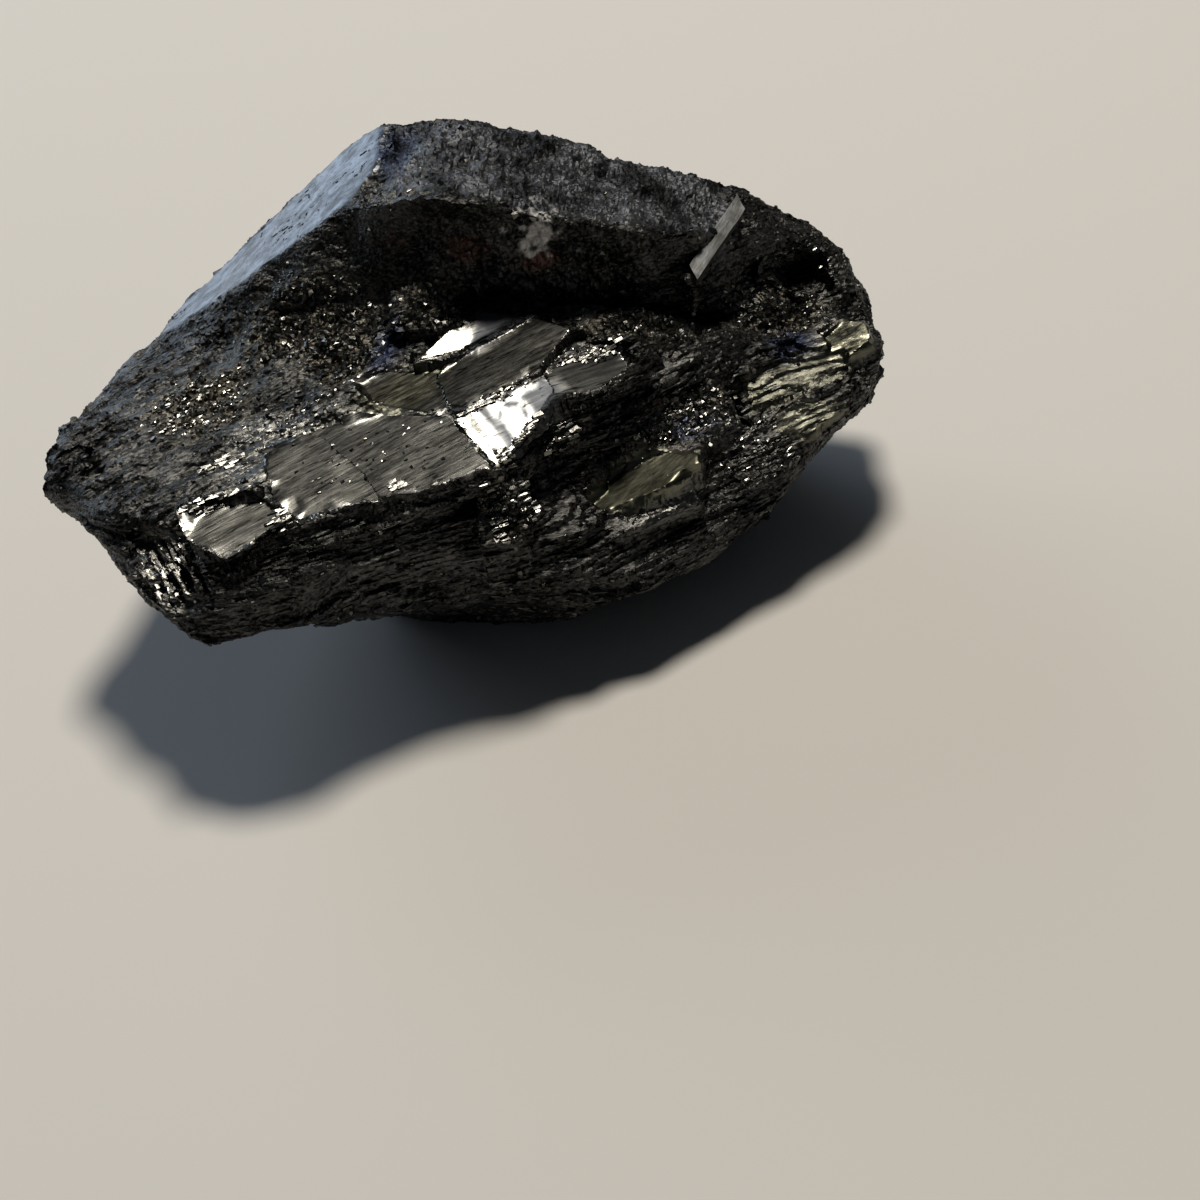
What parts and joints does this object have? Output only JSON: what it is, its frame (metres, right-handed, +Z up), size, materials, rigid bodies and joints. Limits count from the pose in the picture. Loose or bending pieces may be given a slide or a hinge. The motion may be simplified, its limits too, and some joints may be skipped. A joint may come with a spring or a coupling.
{
  "type": "massive stibnite specimen",
  "caption": "Hand-sized lump of massive bladed stibnite with a flat cleavage face, a stepped shelf of blades under a ledge, and a pointed end.",
  "frame": {"origin": "under the middle of the stone, on the flat face it rests on", "axes": "+X along the stone's length towards its pointed end, -Y towards the stepped front, +Z up"},
  "size_m": [0.066, 0.046, 0.034],
  "materials": {
    "stibnite": "dark lead-grey metallic sulphide: bright striated cleavage on the blades, rough and sparkling where broken"
  },
  "bodies": {
    "root": {"stibnite_stone": "stibnite"}
  },
  "joints": []
}
